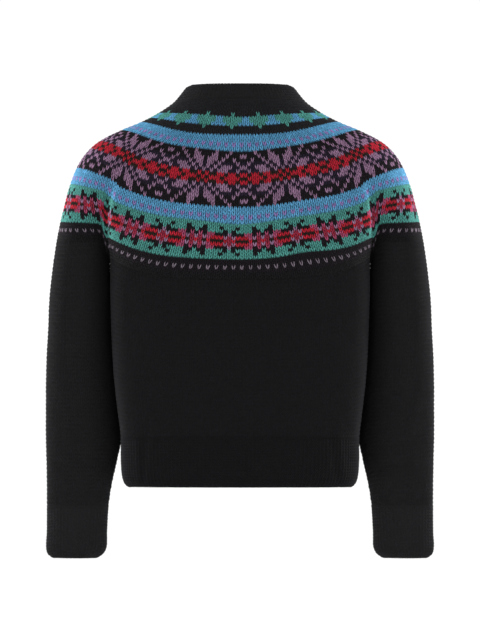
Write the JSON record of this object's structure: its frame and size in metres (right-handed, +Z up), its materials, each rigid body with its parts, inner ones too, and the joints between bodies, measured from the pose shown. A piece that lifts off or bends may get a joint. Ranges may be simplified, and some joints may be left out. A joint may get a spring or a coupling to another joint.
{
  "type": "fair isle cardigan",
  "caption": "Worn-form knitted cardigan with a round patterned yoke, ribbed edges, long sleeves and a buttoned front.",
  "frame": {"origin": "between the shoulders, level with the tops of the shoulders at the neck, where the wearer holds the garment up", "axes": "+Z up, -Y the front with the buttons, +X the wearer's left"},
  "size_m": [0.556, 0.262, 0.6808],
  "materials": {
    "yoke_wool": "colourwork wool knit in blue, green, mauve, red and black",
    "plain_wool": "black wool stocking stitch, soft and matt",
    "rib_wool": "black wool rib, soft and matt",
    "button": "dark horn-effect button, satin polish"
  },
  "bodies": {
    "root": {"yoke": "yoke_wool", "neckband": "rib_wool", "back": "plain_wool", "front_left": "plain_wool", "front_right": "plain_wool", "sleeve_left": "plain_wool", "sleeve_right": "plain_wool", "cuff_left": "rib_wool", "cuff_right": "rib_wool", "hem_back": "rib_wool", "hem_front_left": "rib_wool", "hem_front_right": "rib_wool", "button_band": "rib_wool", "buttonhole_band": "rib_wool", "button_1": "button", "button_2": "button", "button_3": "button", "button_4": "button", "button_5": "button", "button_6": "button", "button_7": "button"}
  },
  "joints": []
}
